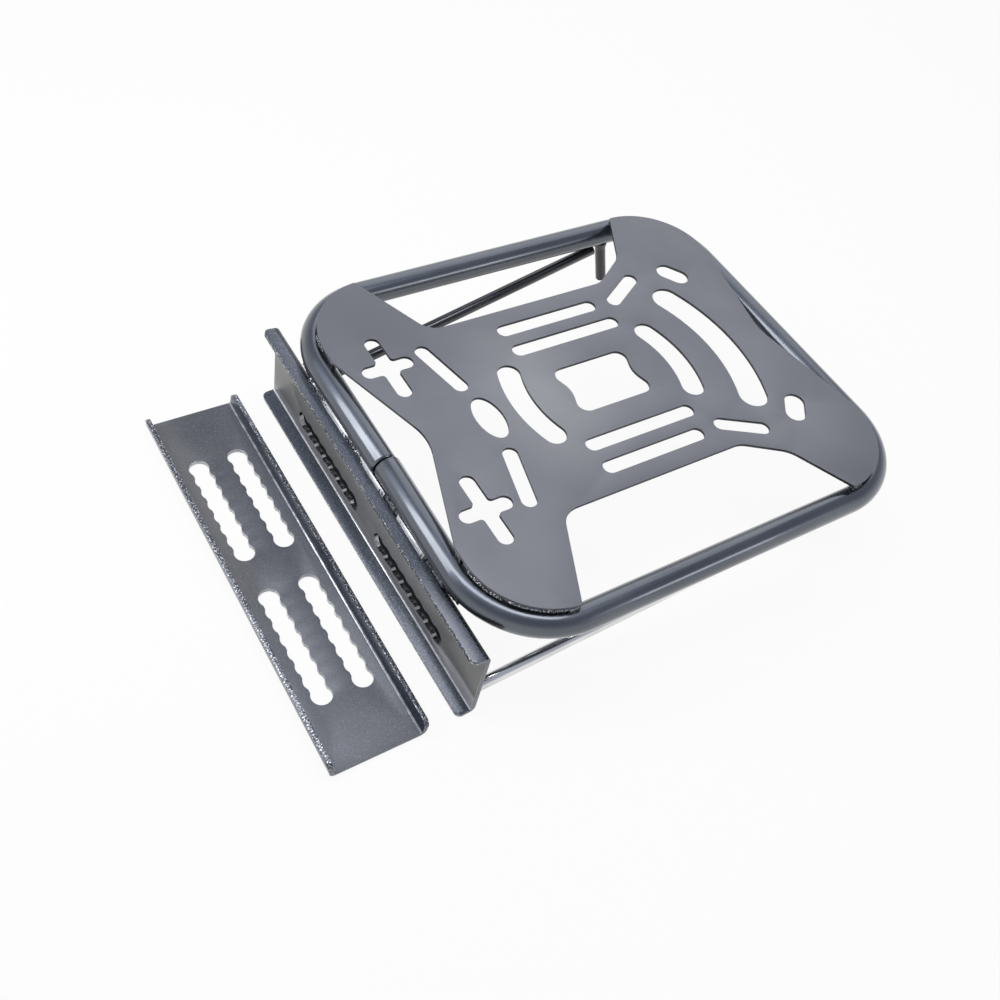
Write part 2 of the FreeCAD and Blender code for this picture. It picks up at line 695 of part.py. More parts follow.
for obj in doc.Objects:
    if "Invalid" in obj.State or "Error" in obj.State:
        raise RuntimeError(f"{obj.Label} failed: {obj.State}")
for node, obj in pieces.items():
    obj.Label = node
    shape = obj.Shape
    if shape.isNull() or not shape.isValid() or len(shape.Solids) != 1:
        raise RuntimeError(f"{node} has {len(shape.Solids)} solids, sound {shape.isValid()}")
    shape.exportStep(f"parts/{node}.step")
    box = shape.BoundBox
    print(f"{node}: volume {shape.Volume:.0f} mm3, x {box.XMin:.1f} to {box.XMax:.1f}, "
          f"y {box.YMin:.1f} to {box.YMax:.1f}, z {box.ZMin:.1f} to {box.ZMax:.1f}")
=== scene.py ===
import math
import random

import bmesh
import bpy
from mathutils import Matrix, Vector, noise


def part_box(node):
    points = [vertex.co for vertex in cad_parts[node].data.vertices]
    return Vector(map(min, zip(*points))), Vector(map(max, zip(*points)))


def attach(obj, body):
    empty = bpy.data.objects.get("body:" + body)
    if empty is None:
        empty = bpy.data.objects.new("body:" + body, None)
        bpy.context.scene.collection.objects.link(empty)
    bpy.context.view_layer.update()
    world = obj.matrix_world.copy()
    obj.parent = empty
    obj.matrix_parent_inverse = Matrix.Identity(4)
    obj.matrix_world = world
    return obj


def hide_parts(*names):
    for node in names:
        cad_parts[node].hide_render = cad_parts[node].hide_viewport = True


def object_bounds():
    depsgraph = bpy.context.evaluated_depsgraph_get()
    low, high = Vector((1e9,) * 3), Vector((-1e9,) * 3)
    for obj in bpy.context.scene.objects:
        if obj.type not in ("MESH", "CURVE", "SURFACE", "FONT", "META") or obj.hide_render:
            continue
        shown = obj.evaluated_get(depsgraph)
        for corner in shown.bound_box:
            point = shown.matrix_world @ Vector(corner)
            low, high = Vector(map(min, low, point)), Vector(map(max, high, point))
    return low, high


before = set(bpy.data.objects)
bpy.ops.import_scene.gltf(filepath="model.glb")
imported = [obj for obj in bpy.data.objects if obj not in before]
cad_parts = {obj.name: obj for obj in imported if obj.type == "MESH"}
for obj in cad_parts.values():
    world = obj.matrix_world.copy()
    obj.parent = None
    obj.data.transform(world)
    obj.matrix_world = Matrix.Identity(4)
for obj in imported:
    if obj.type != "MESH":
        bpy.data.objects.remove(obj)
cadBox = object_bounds()
mm = 0.001
print("frame loaded")


# camera: the viewing angle of the photograph
cameraValues = {
    "target": (-0.11526, -0.05859, 0.0),
    "distance": 0.6505,
    "azimuth": -43.55,
    "elevation": 50.27,
    "roll": 15.87,
    "lens": 40.12,
    "sensor": 36,
    "nearest": 0.02,
    "farthest": 50,
}


def makeCamera(values):
    data = bpy.data.cameras.new("rackCamera")
    data.lens = values["lens"]
    data.sensor_width = values["sensor"]
    data.clip_start, data.clip_end = values["nearest"], values["farthest"]
    camera = bpy.data.objects.new("rackCamera", data)
    bpy.context.scene.collection.objects.link(camera)
    az, el, roll = (math.radians(values[k]) for k in ("azimuth", "elevation", "roll"))
    back = Vector((math.sin(az) * math.cos(el), -math.cos(az) * math.cos(el), math.sin(el)))
    right = Vector((math.cos(az), math.sin(az), 0))
    up = back.cross(right)
    side = right * math.cos(roll) + up * math.sin(roll)
    top = up * math.cos(roll) - right * math.sin(roll)
    turn = Matrix((side, top, back)).transposed().to_4x4()
    place = Vector(values["target"]) + back * values["distance"]
    camera.matrix_world = Matrix.Translation(place) @ turn
    bpy.context.scene.camera = camera


makeCamera(cameraValues)
bpy.context.scene.view_settings.view_transform = "Standard"


# small helpers for materials
def newMaterial(name):
    material = bpy.data.materials.new(name)
    material.use_nodes = True
    tree = material.node_tree
    return material, tree, tree.nodes["Principled BSDF"]


def noiseOn(tree, coords, scale, detail=3.0, rough=0.5):
    node = tree.nodes.new("ShaderNodeTexNoise")
    node.inputs["Scale"].default_value = scale
    node.inputs["Detail"].default_value = detail
    node.inputs["Roughness"].default_value = rough
    tree.links.new(coords, node.inputs["Vector"])
    return node.outputs["Fac"]


def spread(tree, source, low, high, outLow, outHigh):
    node = tree.nodes.new("ShaderNodeMapRange")
    node.inputs["From Min"].default_value = low
    node.inputs["From Max"].default_value = high
    node.inputs["To Min"].default_value = outLow
    node.inputs["To Max"].default_value = outHigh
    tree.links.new(source, node.inputs["Value"])
    return node.outputs["Result"]


def blendColours(tree, factor, first, second):
    node = tree.nodes.new("ShaderNodeMix")
    node.data_type = "RGBA"
    for socket, value in ((node.inputs[6], first), (node.inputs[7], second)):
        if isinstance(value, tuple):
            socket.default_value = (*value, 1)
        else:
            tree.links.new(value, socket)
    tree.links.new(factor, node.inputs[0])
    return node.outputs[2]


def bumpFrom(tree, source, strength, distance):
    node = tree.nodes.new("ShaderNodeBump")
    node.inputs["Strength"].default_value = strength
    node.inputs["Distance"].default_value = distance
    tree.links.new(source, node.inputs["Height"])
    return node.outputs["Normal"]


def product(tree, first, second):
    node = tree.nodes.new("ShaderNodeMath")
    node.operation = "MULTIPLY"
    for socket, value in zip(node.inputs, (first, second)):
        if isinstance(value, float):
            socket.default_value = value
        else:
            tree.links.new(value, socket)
    return node.outputs[0]


# A soft spot round a centre, 1 inside its inner reach and 0 outside its outer one
def spotOn(tree, coords, centre, stretch, inner, outer):
    shifted = tree.nodes.new("ShaderNodeVectorMath")
    shifted.operation = "SUBTRACT"
    shifted.inputs[1].default_value = centre
    tree.links.new(coords, shifted.inputs[0])
    scaled = tree.nodes.new("ShaderNodeVectorMath")
    scaled.operation = "MULTIPLY"
    scaled.inputs[1].default_value = stretch
    tree.links.new(shifted.outputs[0], scaled.inputs[0])
    length = tree.nodes.new("ShaderNodeVectorMath")
    length.operation = "LENGTH"
    tree.links.new(scaled.outputs[0], length.inputs[0])
    return spread(tree, length.outputs["Value"], inner, outer, 1, 0)


# How all the steels below turn noise into shades, grain, wear and orange peel
patternValues = {
    "cloudLow": 0.35, "cloudHigh": 0.66, "cloudDetail": 3.0, "grainLow": 0.5, "grainHigh": 0.78,
    "grainDetail": 1.0, "wornScale": 3.1, "wornLow": 0.3, "wornHigh": 0.7, "smoother": 0.04,
    "rougher": 0.05, "peelDetail": 2.0, "peelDepth": 0.0004, "coatRough": 0.12,
}


# A painted steel: two drifting shades, spots of painted light and shade, fine grain and orange
# peel
def paintedSteel(name, values):
    pattern = patternValues
    material, tree, shader = newMaterial(name)
    coords = tree.nodes.new("ShaderNodeTexCoord").outputs["Object"]
    drift = noiseOn(tree, coords, values["cloudScale"], pattern["cloudDetail"])
    cloud = spread(tree, drift, pattern["cloudLow"], pattern["cloudHigh"], 0, 1)
    tone = blendColours(tree, cloud, values["shade"], values["light"])
    # The spots are painted light and shade laid over the tone
    for spot in values.get("spots", ()):
        near = spotOn(tree, coords, spot["at"], spot["stretch"], spot["inner"], spot["outer"])
        tone = blendColours(tree, product(tree, near, spot["share"]), tone, spot["tone"])
    fine = noiseOn(tree, coords, values["grainScale"], pattern["grainDetail"])
    grain = spread(tree, fine, pattern["grainLow"], pattern["grainHigh"], 0, values["grain"])
    tone = blendColours(tree, grain, tone, values["fleck"])
    tree.links.new(tone, shader.inputs["Base Color"])
    wear = noiseOn(tree, coords, values["cloudScale"] * pattern["wornScale"])
    worn = spread(tree, wear, pattern["wornLow"], pattern["wornHigh"],
                  values["rough"] - pattern["smoother"], values["rough"] + pattern["rougher"])
    tree.links.new(worn, shader.inputs["Roughness"])
    peel = noiseOn(tree, coords, values["peelScale"], pattern["peelDetail"])
    bump = bumpFrom(tree, peel, values["peel"], pattern["peelDepth"])
    tree.links.new(bump, shader.inputs["Normal"])
    shader.inputs["Metallic"].default_value = values["metal"]
    shader.inputs["Specular IOR Level"].default_value = values["sheen"]
    shader.inputs["Coat Weight"].default_value = values["coat"]
    shader.inputs["Coat Roughness"].default_value = values.get("coatRough", pattern["coatRough"])
    return material


deckPaintValues = {
    "shade": (0.168, 0.176, 0.207), "light": (0.196, 0.203, 0.241), "fleck": (0.25, 0.25, 0.285),
    "cloudScale": 12.0, "grainScale": 2600.0, "grain": 0.35, "rough": 0.44, "peelScale": 700.0,
    "peel": 0.05, "metal": 0.1, "sheen": 0.45, "coat": 0.0,
    # Painted shade over the front left lobe; painted light over the front right lobe, the rear
    # right part, a small place near the front and the middle
    "spots": [
        {"at": (-0.11, 0.105, 0), "stretch": (1, 1, 1), "inner": 0.02, "outer": 0.095,
         "share": 0.75, "tone": (0.118, 0.126, 0.152)},
        {"at": (-0.11, -0.095, 0), "stretch": (1, 1, 1), "inner": 0.01, "outer": 0.06,
         "share": 0.6, "tone": (0.226, 0.234, 0.27)},
        {"at": (0.084, -0.072, 0), "stretch": (1, 1, 1), "inner": 0.01, "outer": 0.07,
         "share": 0.5, "tone": (0.222, 0.23, 0.262)},
        {"at": (-0.11, -0.035, 0), "stretch": (1, 1, 1), "inner": 0.008, "outer": 0.03,
         "share": 0.5, "tone": (0.246, 0.254, 0.288)},
        {"at": (-0.045, 0.0, 0), "stretch": (1, 0.7, 1), "inner": 0.008, "outer": 0.055,
         "share": 0.8, "tone": (0.315, 0.322, 0.355)},
    ],
}
# Painted shade: the walls of the deck's cut-outs, the deck's own paint as it looks in shade
cutEdgeShadeValues = {
    "shade": (0.02, 0.02, 0.026), "light": (0.045, 0.047, 0.055), "fleck": (0.3, 0.3, 0.32),
    "cloudScale": 60.0, "grainScale": 1200.0, "grain": 0.25, "rough": 0.4, "peelScale": 700.0,
    "peel": 0.1, "metal": 0.3, "sheen": 0.4, "coat": 0.0,
}
tubePaintValues = {
    "shade": (0.075, 0.086, 0.108), "light": (0.1, 0.112, 0.135), "fleck": (0.2, 0.21, 0.24),
    "cloudScale": 14.0, "grainScale": 1800.0, "grain": 0.15, "rough": 0.3, "peelScale": 500.0,
    "peel": 0.03, "metal": 1.0, "sheen": 0.5, "coat": 1.0, "coatRough": 0.1,
    # Painted shade on the lower halves of the side runs and the rear run
    "spots": [
        {"at": (0.02, 0.0, -0.0192), "stretch": (0.04, 0.01, 1), "inner": 0.005, "outer": 0.0095,
         "share": 0.85, "tone": (0.035, 0.04, 0.05)},
    ],
}
seamDarkValues = {
    "shade": (0.004, 0.004, 0.005), "light": (0.012, 0.012, 0.014), "fleck": (0.02, 0.02, 0.02),
    "cloudScale": 200.0, "grainScale": 900.0, "grain": 0.1, "rough": 0.6, "peelScale": 700.0,
    "peel": 0.1, "metal": 0.0, "sheen": 0.2, "coat": 0.0,
}
webPaintValues = {
    "shade": (0.15, 0.152, 0.15), "light": (0.21, 0.21, 0.208), "fleck": (0.36, 0.36, 0.37),
    "cloudScale": 13.0, "grainScale": 2200.0, "grain": 0.35, "rough": 0.36, "peelScale": 600.0,
    "peel": 0.1, "metal": 0.25, "sheen": 0.5, "coat": 0.0,
    # Painted light on the middle of the web, a painted reflection in a strip along its lower fold
    # and a painted highlight at its right low end
    "spots": [
        {"at": (-0.1673, 0.0, -0.06), "stretch": (1, 0.4, 0.8), "inner": 0.004, "outer": 0.02,
         "share": 0.6, "tone": (0.24, 0.25, 0.27)},
        {"at": (-0.1673, 0.0, -0.0755), "stretch": (1, 0.02, 1), "inner": 0.003, "outer": 0.0055,
         "share": 0.6, "tone": (0.4, 0.41, 0.46)},
        {"at": (-0.1673, -0.128, -0.0728), "stretch": (1, 0.2, 1), "inner": 0.0055,
         "outer": 0.0085, "share": 0.95, "tone": (0.62, 0.63, 0.68)},
    ],
}
clampPaintValues = {
    "shade": (0.1, 0.106, 0.13), "light": (0.15, 0.16, 0.19), "fleck": (0.3, 0.31, 0.35),
    "cloudScale": 9.0, "grainScale": 1900.0, "grain": 0.5, "rough": 0.42, "peelScale": 520.0,
    "peel": 0.12, "metal": 0.25, "sheen": 0.45, "coat": 0.0,
    # Painted shade at the clamp's left end and painted light in a long band across its web
    "spots": [
        {"at": (-0.226, 0.11, -0.08), "stretch": (1.4, 0.6, 1), "inner": 0.01, "outer": 0.05,
         "share": 0.8, "tone": (0.068, 0.072, 0.088)},
        {"at": (-0.255, 0.06, -0.08), "stretch": (2.2, 0.35, 1), "inner": 0.008, "outer": 0.045,
         "share": 0.75, "tone": (0.165, 0.164, 0.158)},
    ],
}
# Painted light: the walls and cusps of the clamp's slots, far lighter than the clamp's own paint
clampSlotLightValues = {
    "shade": (0.5, 0.51, 0.54), "light": (0.7, 0.71, 0.73), "fleck": (0.9, 0.9, 0.9),
    "cloudScale": 60.0, "grainScale": 1200.0, "grain": 0.3, "rough": 0.4, "peelScale": 700.0,
    "peel": 0.1, "metal": 0.2, "sheen": 0.4, "coat": 0.0,
}
# Painted shade: the channels' flanges, darker than their webs though of the same sheet
flangeShadeValues = {
    "shade": (0.048, 0.06, 0.086), "light": (0.08, 0.095, 0.126), "fleck": (0.34, 0.36, 0.42),
    "cloudScale": 16.0, "grainScale": 1300.0, "grain": 0.6, "rough": 0.3, "peelScale": 450.0,
    "peel": 0.16, "metal": 0.4, "sheen": 0.5, "coat": 0.2,
    # A painted highlight at the right end of the bracket's top flange
    "spots": [
        {"at": (-0.177, -0.115, -0.0215), "stretch": (1, 0.18, 1), "inner": 0.003, "outer": 0.009,
         "share": 0.8, "tone": (0.26, 0.275, 0.32)},
    ],
}
# Painted highlight: a near-white tone on the bracket's inner folds and the cusps of its slots
foldHighlightValues = {
    "shade": (0.62, 0.64, 0.67), "light": (0.9, 0.91, 0.93), "fleck": (1.0, 1.0, 1.0),
    "cloudScale": 90.0, "grainScale": 1500.0, "grain": 0.4, "rough": 0.26, "peelScale": 450.0,
    "peel": 0.08, "metal": 0.35, "sheen": 0.5, "coat": 0.2,
}
# Painted glints: near-white flecks on the lips of the channels and on the thin rim seam
lipGlintValues = {
    "shade": (0.045, 0.053, 0.072), "light": (0.085, 0.095, 0.12), "fleck": (0.95, 0.96, 1.0),
    "cloudScale": 120.0, "grainScale": 900.0, "grain": 0.95, "rough": 0.28, "peelScale": 700.0,
    "peel": 0.35, "metal": 0.45, "sheen": 0.5, "coat": 0.1,
}
# Painted highlight: a lighter tone on the clamp's inner folds
clampFoldHighlightValues = {
    "shade": (0.2, 0.21, 0.24), "light": (0.5, 0.52, 0.56), "fleck": (0.9, 0.9, 0.92),
    "cloudScale": 160.0, "grainScale": 1500.0, "grain": 0.5, "rough": 0.3, "peelScale": 450.0,
    "peel": 0.1, "metal": 0.8, "sheen": 0.5, "coat": 0.2,
}
# Painted shade: the left strut's copy of the rod, darker than the right strut's lit copy
rodShadeValues = {
    "shade": (0.042, 0.044, 0.049), "light": (0.066, 0.069, 0.076), "fleck": (0.2, 0.2, 0.22),
    "cloudScale": 20.0, "grainScale": 1800.0, "grain": 0.2, "rough": 0.24, "peelScale": 600.0,
    "peel": 0.04, "metal": 1.0, "sheen": 0.5, "coat": 0.4,
}
# Painted shade: the peg, darker still than the shaded rod
pegShadeValues = {
    "shade": (0.014, 0.0145, 0.016), "light": (0.028, 0.029, 0.031), "fleck": (0.12, 0.12, 0.13),
    "cloudScale": 40.0, "grainScale": 1800.0, "grain": 0.3, "rough": 0.34, "peelScale": 600.0,
    "peel": 0.06, "metal": 0.3, "sheen": 0.4, "coat": 0.0,
}
# Painted light: the right strut's lit copy of the rod
litRodValues = {
    "shade": (0.62, 0.62, 0.62), "light": (0.85, 0.85, 0.85), "fleck": (0.95, 0.95, 0.95),
    "cloudScale": 20.0, "grainScale": 1800.0, "grain": 0.2, "rough": 0.1, "peelScale": 600.0,
    "peel": 0.03, "metal": 1.0, "sheen": 0.5, "coat": 0.0,
}
# The weld's near-white flecks are painted glints
weldValues = {
    "shade": (0.006, 0.007, 0.009), "light": (0.04, 0.042, 0.05), "fleck": (0.95, 0.96, 1.0),
    "cloudScale": 420.0, "grainScale": 1100.0, "grain": 1.0, "rough": 0.28, "peelScale": 900.0,
    "peel": 0.5, "metal": 0.6, "sheen": 0.5, "coat": 0.0,
}
# Painted shade: the weld as it looks in shade, also used for the bracket's slot walls and its top
# fold
weldShadeValues = {
    "shade": (0.005, 0.006, 0.008), "light": (0.022, 0.024, 0.03), "fleck": (0.6, 0.62, 0.68),
    "cloudScale": 420.0, "grainScale": 1000.0, "grain": 0.35, "rough": 0.32, "peelScale": 900.0,
    "peel": 0.4, "metal": 0.5, "sheen": 0.4, "coat": 0.0,
}
deckPaint = paintedSteel("deckPaint", deckPaintValues)
cutEdgeShade = paintedSteel("cutEdgeShade", cutEdgeShadeValues)
tubePaint = paintedSteel("tubePaint", tubePaintValues)
seamDark = paintedSteel("seamDark", seamDarkValues)
webPaint = paintedSteel("bracketWebPaint", webPaintValues)
clampPaint = paintedSteel("clampWebPaint", clampPaintValues)
clampSlotLight = paintedSteel("clampSlotWallLight", clampSlotLightValues)
flangeShade = paintedSteel("flangeShade", flangeShadeValues)
foldHighlight = paintedSteel("foldHighlight", foldHighlightValues)
lipGlint = paintedSteel("lipGlint", lipGlintValues)
clampFoldHighlight = paintedSteel("clampFoldHighlight", clampFoldHighlightValues)
rodShade = paintedSteel("rodShade", rodShadeValues)
pegShade = paintedSteel("pegShade", pegShadeValues)
litRod = paintedSteel("litRod", litRodValues)
weldSteel = paintedSteel("weldSteel", weldValues)
weldShade = paintedSteel("weldShade", weldShadeValues)
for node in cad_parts.values():
    node.data.materials.clear()
    node.data.materials.append(rodShade)
print("materials made")


# dressed copies of the frame's pieces: merged, edges broken, smooth where they curve
# (angles in degrees)
shellValues = {"smoothBelow": 32, "doubles": 0.002 * mm, "flatBelow": 0.6, "hardFrom": 28}


def finishPiece(mesh, name, material, replaced=()):
    piece = bpy.data.objects.new(name, mesh)
    bpy.context.scene.collection.objects.link(piece)
    if not mesh.materials:
        mesh.materials.append(material)
    for face in mesh.polygons:
        face.use_smooth = True
    mesh.set_sharp_from_angle(angle=math.radians(shellValues["smoothBelow"]))
    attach(piece, "root")
    if replaced:
        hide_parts(*replaced)
    return piece


def mergedCopy(nodeName):
    shell = bmesh.new()
    shell.from_mesh(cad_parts[nodeName].data)
    bmesh.ops.remove_doubles(shell, verts=shell.verts, dist=shellValues["doubles"])
    bmesh.ops.recalc_face_normals(shell, faces=shell.faces)
    bmesh.ops.dissolve_limit(shell, angle_limit=math.radians(shellValues["flatBelow"]),
                             verts=shell.verts, edges=shell.edges)
    return shell


def breakEdges(shell, width, steps):
    hard = [e for e in shell.edges if len(e.link_faces) == 2
            and e.calc_face_angle(0) > math.radians(shellValues["hardFrom"])]
    bmesh.ops.bevel(shell, geom=hard, offset=width, offset_type="OFFSET", affect="EDGES",
                    segments=steps, profile=0.5, material=-1, clamp_overlap=True)


def meshOf(shell, name):
    bmesh.ops.triangulate(shell, faces=shell.faces)
    mesh = bpy.data.meshes.new(name)
    shell.to_mesh(mesh)
    shell.free()
    return mesh


sheetEdges = {
    "deckBreak": 0.3 * mm,
    "channelBreak": 0.5 * mm,
    "tubeBreak": 0.35 * mm,
    "steps": 2,
}

# The walls of the deck's cut-outs are painted shade, its outer rims are not, and the tacks under
# it are bare weld
deckValues = {"upright": 0.5, "underside": -2.05 * mm, "rimFrom": 100.0 * mm, "rimX": 135.0 * mm,
              "rimY": 120.0 * mm}
deck = mergedCopy("top_plate")
breakEdges(deck, sheetEdges["deckBreak"], sheetEdges["steps"])
for face in deck.faces:
    if face.calc_center_median().z < deckValues["underside"]:
        face.material_index = 2
    elif abs(face.normal.z) < deckValues["upright"]:
        middle = face.calc_center_median()
        outward = middle.x * face.normal.x + middle.y * face.normal.y
        onRim = outward > deckValues["rimFrom"] and (abs(middle.x) > deckValues["rimX"]
                                                     or abs(middle.y) > deckValues["rimY"])
        face.material_index = 0 if onRim else 1
deckMesh = meshOf(deck, "deckSheet")
for material in (deckPaint, cutEdgeShade, weldSteel):
    deckMesh.materials.append(material)
finishPiece(deckMesh, "deckSheet", deckPaint, ["top_plate"])
print("deck sheet done")

# The tube's two ends meet a little out of line at the front, with a dark gap between them
seamValues = {"frontOf": -140 * mm, "reach": 2.5 * mm, "aside": 1.15 * mm, "up": 0.3 * mm,
              "darkFrom": -1.6 * mm, "darkTo": 0.8 * mm}
tube = mergedCopy("tube_loop")
breakEdges(tube, sheetEdges["tubeBreak"], sheetEdges["steps"])
for vert in tube.verts:
    if vert.co.x < seamValues["frontOf"] and -seamValues["reach"] < vert.co.y < 0:
        vert.co.x += seamValues["aside"]
        vert.co.z += seamValues["up"]
for face in tube.faces:
    middle = face.calc_center_median()
    inGap = seamValues["darkFrom"] < middle.y < seamValues["darkTo"]
    if middle.x < seamValues["frontOf"] and inGap:
        face.material_index = 1
tubeMesh = meshOf(tube, "bentTube")
for material in (tubePaint, seamDark):
    tubeMesh.materials.append(material)
finishPiece(tubeMesh, "bentTube", tubePaint, ["tube_loop"])
print("tube done")


# Each part of a channel gets its own tone, most of them painted light and shade: shaded flanges,
# painted highlights on the folds and slot cusps, painted glints on the lips, the bracket's slot
# walls and top fold painted in shade and the clamp's slot walls painted light. Levels are the
# share of a face's normal that points to the open side, and rise is how far the face stands from
# the inside of the web.
channelFaces = {"flat": 0.985, "fold": 0.15, "bright": 0.45, "foldRise": 6 * mm,
                "outerFrom": -30 * mm, "slotReach": 100 * mm, "slotHalf": 24 * mm,
                "glintSide": -0.3, "glintUp": 0.2}
channelTones = ("web", "flange", "innerFold", "slotWall", "topFold", "slotGlint", "lip")


def channelTone(face, middle, openSide, webFace):
    centre = face.calc_center_median()
    level = face.normal.dot(openSide)
    rise = (centre - webFace).dot(openSide)
    away = centre - middle
    if abs(level) > channelFaces["flat"] and rise < channelFaces["foldRise"]:
        return "web"
    across = abs(away.dot(openSide.cross(Vector((0, 1, 0)))))
    if across < channelFaces["slotHalf"] and abs(away.y) < channelFaces["slotReach"]:
        glints = (face.normal.y < channelFaces["glintSide"]
                  and face.normal.z > channelFaces["glintUp"])
        return "slotGlint" if glints else "slotWall"
    if rise > channelFaces["foldRise"] and level > channelFaces["fold"]:
        return "lip"
    if rise > channelFaces["foldRise"] or abs(level) < channelFaces["fold"]:
        return "flange"
    if level > 0:
        return "innerFold" if level > channelFaces["bright"] else "flange"
    return "topFold" if centre.z > channelFaces["outerFrom"] else "flange"


def dressChannel(nodeName, pieceName, openSide, webFace, materials):
    shell = mergedCopy(nodeName)
    breakEdges(shell, sheetEdges["channelBreak"], sheetEdges["steps"])
    low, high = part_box(nodeName)
    middle = (Vector(low) + Vector(high)) / 2
    for face in shell.faces:
        toneGroup = channelTone(face, middle, Vector(openSide), Vector(webFace))
        face.material_index = channelTones.index(toneGroup)
    mesh = meshOf(shell, pieceName)
    for material in materials:
        mesh.materials.append(material)
    return finishPiece(mesh, pieceName, materials[0], [nodeName])


# The bracket: painted shade on its flanges, slot walls and top fold, painted highlights on its
# inner folds and slot cusps, painted glints on its lips
dressChannel("front_bracket", "foldedBracket", (-1, 0, 0), (-167.3 * mm, 0, 0),
             (webPaint, flangeShade, foldHighlight, weldShade, weldShade, foldHighlight, lipGlint))
# The clamp: painted shade on its flanges, painted highlights on its inner folds, painted light on
# its slot walls and cusps, painted glints on its lips
dressChannel("clamp_plate", "foldedClamp", (0, 0, 1), (0, 0, -80.22 * mm),
             (clampPaint, flangeShade, clampFoldHighlight, clampSlotLight, weldShade, clampSlotLight, lipGlint))
print("channels done")


rodEdges = {"strut": 0.15 * mm, "peg": 0.6 * mm}


def dressRod(nodeName, pieceName, width, material):
    shell = mergedCopy(nodeName)
    breakEdges(shell, width, sheetEdges["steps"])
    return finishPiece(meshOf(shell, pieceName), pieceName, material, [nodeName])


# The left strut is painted in shade, the right one lit, and the peg in deeper shade
dressRod("strut_left", "leftStrut", rodEdges["strut"], rodShade)
dressRod("strut_right", "rightStrut", rodEdges["strut"], litRod)
dressRod("strap_peg", "strapPeg", rodEdges["peg"], pegShade)
print("rods done")


# weld beads: a ring of points carried along a path, its size rippling like laid metal
beadValues = {"sides": 8, "tip": 0.35, "wave": 2.1, "scatter": 0.8, "driftScale": 900,
              "drift": 0.16, "noiseSeed": 7}
noise.seed_set(beadValues["noiseSeed"])


def weldBead(name, path, radius, ripple, seed, material=weldSteel, taper=1.5):
    rng = random.Random(seed)
    shell = bmesh.new()
    count = beadValues["sides"]
    rings = []
    last = len(path) - 1
    for i, spot in enumerate(path):
        ahead = (path[min(i + 1, last)] - path[max(i - 1, 0)]).normalized()
        closing = path[0] == path[last]
        fromTip = min(i, last - i) / taper
        thin = 1 if closing else min(1, beadValues["tip"] + (1 - beadValues["tip"]) * fromTip)
        wave = ripple * math.sin(i * beadValues["wave"] + seed)
        scatter = ripple * rng.uniform(-beadValues["scatter"], beadValues["scatter"])
        size = radius * thin * (1 + wave + scatter)
        if closing and i == last:
            rings.append(rings[0])
            continue
        made = bmesh.ops.create_circle(shell, segments=count, radius=size)["verts"]
        turn = ahead.to_track_quat("Z", "Y").to_matrix().to_4x4()
        bmesh.ops.transform(shell, matrix=Matrix.Translation(spot) @ turn, verts=made)
        rings.append(made)
    for one, two in zip(rings, rings[1:]):
        for k in range(count):
            shell.faces.new((one[k], one[(k + 1) % count], two[(k + 1) % count], two[k]))
    if rings[0] is not rings[-1]:
        shell.faces.new(rings[0][::-1])
        shell.faces.new(rings[-1])
    bmesh.ops.recalc_face_normals(shell, faces=shell.faces)
    for vert in shell.verts:
        drift = noise.noise_vector(vert.co * beadValues["driftScale"] + Vector((seed, 0, 0)))
        vert.co += drift * radius * beadValues["drift"]
    return finishPiece(meshOf(shell, name), name, material)


def straightPath(start, end, step):
    start, end = Vector(start), Vector(end)
    count = max(2, int((end - start).length / step))
    return [start.lerp(end, k / count) for k in range(count + 1)]


def arcPath(centre, radius, fromAngle, toAngle, step):
    sweep = toAngle - fromAngle
    count = max(3, int(abs(math.radians(sweep)) * radius / step))
    angles = [math.radians(fromAngle + sweep * k / count) for k in range(count + 1)]
    return [Vector(centre) + Vector((math.cos(a), math.sin(a), 0)) * radius for a in angles]


# Four beads hold the bracket to the tube; the two on the right are in its shade and darker
bracketWeld = {"x": -165.6 * mm, "z": -21.3 * mm, "radius": 2.75 * mm, "step": 1.3 * mm,
               "ripple": 0.07, "middles": (-73.5, -24.5, 24.5, 73.5), "reach": 15.8, "seed": 3}
for index, middle in enumerate(bracketWeld["middles"]):
    beadEnds = [(bracketWeld["x"], y * mm, bracketWeld["z"])
                for y in (middle - bracketWeld["reach"], middle + bracketWeld["reach"])]
    weldBead(f"bracketWeld{index + 1}", straightPath(*beadEnds, bracketWeld["step"]),
             bracketWeld["radius"], bracketWeld["ripple"], bracketWeld["seed"] + index,
             weldSteel if middle > 0 else weldShade)

# A run of weld painted in shade behind those beads closes the crevice under the tube and thins out
# past them
creviceWeld = {"radius": 2.2 * mm, "step": 1.0 * mm, "ripple": 0.12, "z": -20.1 * mm,
               "x": -164.4 * mm, "end": 101.0 * mm, "taper": 12, "seed": 12}
creviceEnds = [(creviceWeld["x"], y, creviceWeld["z"])
               for y in (-creviceWeld["end"], creviceWeld["end"])]
weldBead("creviceWeld", straightPath(*creviceEnds, creviceWeld["step"]), creviceWeld["radius"],
         creviceWeld["ripple"], creviceWeld["seed"], weldShade, creviceWeld["taper"])

# Runs along the rim of the front lobes, between the sheet and the tube
rimWeld = {"radius": 1.45 * mm, "z": -3.6 * mm, "step": 0.8 * mm, "ripple": 0.2, "seed": 21,
           "centre": (-106.0 * mm, 89.7 * mm), "rimRadius": 49.9 * mm}
for word, side, fromAngle, toAngle in (("Right", -1, 182, 214), ("Left", 1, 178, 160)):
    centre = (rimWeld["centre"][0], side * rimWeld["centre"][1], rimWeld["z"])
    path = arcPath(centre, rimWeld["rimRadius"], fromAngle, toAngle, rimWeld["step"])
    weldBead(f"rimWeld{word}", path, rimWeld["radius"], rimWeld["ripple"], rimWeld["seed"] + side)

